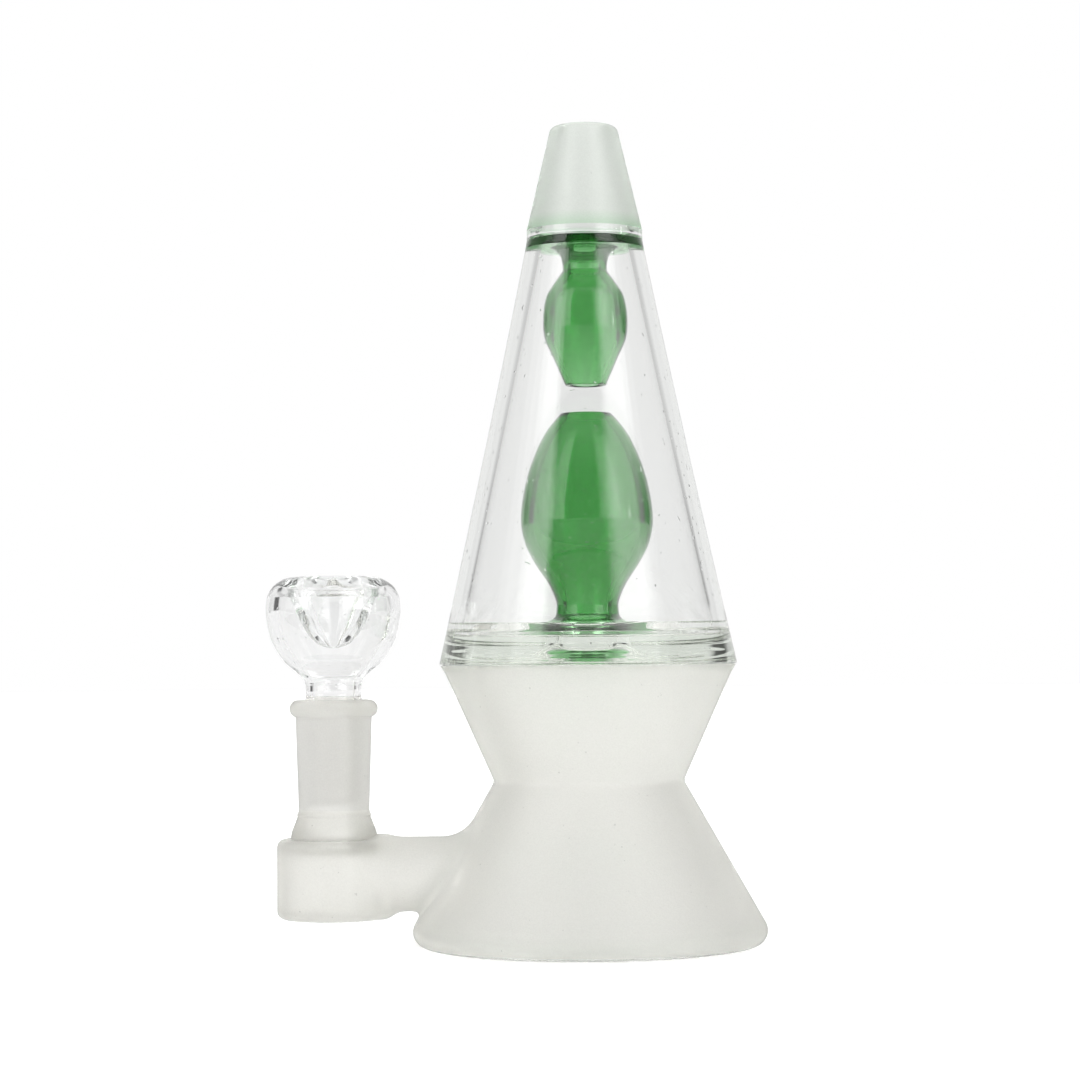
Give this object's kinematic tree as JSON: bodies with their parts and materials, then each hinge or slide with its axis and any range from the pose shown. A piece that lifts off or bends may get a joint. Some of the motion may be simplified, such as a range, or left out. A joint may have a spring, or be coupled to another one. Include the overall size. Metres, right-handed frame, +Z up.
{
  "type": "glass water pipe",
  "caption": "Tabletop glass water pipe shaped like a lava lamp: frosted hourglass base, clear cone with green vases inside, frosted mouthpiece, side arm with a lift-out bowl.",
  "frame": {"origin": "centre of the flat underside of the base", "axes": "+Z up along the axis of the base, cone and mouthpiece; the side arm and its bowl point along -X, so a viewer looking along +Y has the bowl on the left"},
  "size_m": [0.1235, 0.0874, 0.203],
  "materials": {
    "clear_glass": "polished clear borosilicate glass",
    "frosted_glass": "fine sandblasted white-grey glass",
    "green_glass": "polished transparent green glass",
    "ground_glass": "ground glass joint face, finely scored round its axis"
  },
  "bodies": {
    "pipe": {"base_floor": "clear_glass", "base_bell": "frosted_glass", "base_cup": "frosted_glass", "lower_deck": "clear_glass", "cone_body": "clear_glass", "lower_vase": "green_glass", "upper_disc": "green_glass", "upper_vase": "green_glass", "mouthpiece": "frosted_glass", "side_pot": "frosted_glass", "side_tube": "frosted_glass", "inline_diffuser": "clear_glass", "joint_socket": "frosted_glass"},
    "bowl": {"bowl_joint": "ground_glass", "bowl_cup": "clear_glass"}
  },
  "joints": [
    {"name": "bowl_lift", "type": "slide", "parent": "pipe", "child": "bowl", "axis": [0, 0, 1], "range_m": [0, 0.06]}
  ]
}
